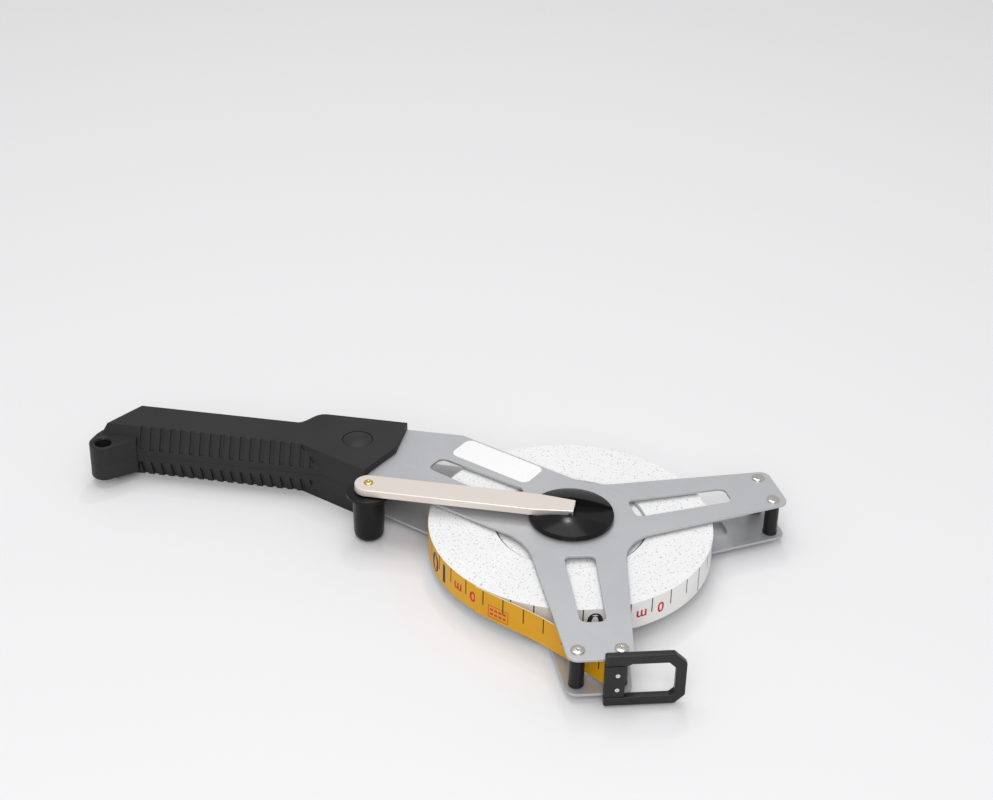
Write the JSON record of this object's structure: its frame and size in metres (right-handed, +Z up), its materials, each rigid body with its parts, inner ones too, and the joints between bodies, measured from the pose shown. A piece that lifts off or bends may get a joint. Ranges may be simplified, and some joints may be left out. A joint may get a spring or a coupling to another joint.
{
  "type": "surveyor tape reel",
  "caption": "Open-frame surveyor's tape reel with a pistol-style grip, fold-away winding crank, guide rollers and a swinging end ring, lying on its back with the crank folded",
  "frame": {"origin": "drum axis at the plane that the reel rests on", "axes": "+Z up along the drum axis, -X from the drum towards the handle, +Y to the side of the plain arm"},
  "size_m": [0.2969, 0.1586, 0.0288],
  "materials": {
    "plate_steel": "satin",
    "post_black": "satin black",
    "rivet_nickel": "polished nickel",
    "steel": "satin",
    "hub_black": "glossy",
    "grip_black": "satin, fine grain",
    "spool_white": "satin",
    "bush_plastic": "satin",
    "tape_white": "semi-gloss lacquer",
    "tape_yellow": "semi-gloss lacquer",
    "crank_nickel": "satin nickel plate",
    "pin_brass": "polished",
    "knob_black": "semi-gloss",
    "ring_black": "semi-gloss",
    "label_white": "coated film"
  },
  "bodies": {
    "frame": {"top_plate": "plate_steel", "lower_plate": "plate_steel", "frame_rivets": "rivet_nickel", "arm_spacers": "post_black", "axle": "steel", "axle_washer": "steel", "axle_nut": "steel", "thrust_washer": "bush_plastic", "top_bush": "bush_plastic", "rear_cap": "hub_black", "label": "label_white", "tape_run": "tape_yellow", "handle_upper": "grip_black", "handle_lower": "grip_black", "handle_core": "grip_black", "handle_bolt": "steel", "handle_nut": "steel", "dowel_pins": "steel", "handle_screws": "steel", "bolt_cap_upper": "grip_black", "bolt_cap_lower": "grip_black"},
    "drum": {"spool": "spool_white", "tape_coil": "tape_white", "tape_anchor": "steel", "turret": "hub_black", "turret_screws": "steel", "crank_pin": "hub_black"},
    "crank": {"crank_arm": "crank_nickel", "knob_pin": "pin_brass", "knob_pin_washer": "steel"},
    "knob": {"knob": "knob_black", "knob_plug": "knob_black"},
    "left_roller": {"roller_left": "post_black"},
    "right_roller": {"roller_right": "post_black"},
    "tape_end": {"tape_lead": "tape_yellow", "tape_clamp": "ring_black", "clamp_rivets": "rivet_nickel", "ring_pin": "steel"},
    "ring": {"end_ring": "ring_black"}
  },
  "joints": [
    {"name": "drum_spin", "type": "hinge", "parent": "frame", "child": "drum", "pos_m": [0, 0, 0.0126], "axis": [0, 0, 1], "range_deg": [0, 54]},
    {"name": "crank_fold", "type": "hinge", "parent": "drum", "child": "crank", "pos_m": [0, 0, 0.0262], "axis": [-0.4242, 0.9056, 0], "range_deg": [0, 180]},
    {"name": "knob_spin", "type": "hinge", "parent": "crank", "child": "knob", "pos_m": [-0.07951, -0.03725, 0.0126], "axis": [0, 0, 1], "continuous": true},
    {"name": "left_roller_spin", "type": "hinge", "parent": "frame", "child": "left_roller", "pos_m": [0.05024, -0.07373, 0.0126], "axis": [0, 0, 1], "continuous": true},
    {"name": "right_roller_spin", "type": "hinge", "parent": "frame", "child": "right_roller", "pos_m": [0.06345, -0.06272, 0.0126], "axis": [0, 0, 1], "continuous": true},
    {"name": "tape_pull", "type": "slide", "parent": "frame", "child": "tape_end", "axis": [0.9936, -0.1128, 0], "range_m": [0, 0.058]},
    {"name": "ring_swing", "type": "hinge", "parent": "tape_end", "child": "ring", "pos_m": [0.06393, -0.07273, 0.0126], "axis": [0, 0, -1], "range_deg": [0, 150]}
  ],
  "couplings": [
    {"joint": "tape_pull", "follows": "drum_spin", "m_per_rad": 0.06137}
  ]
}
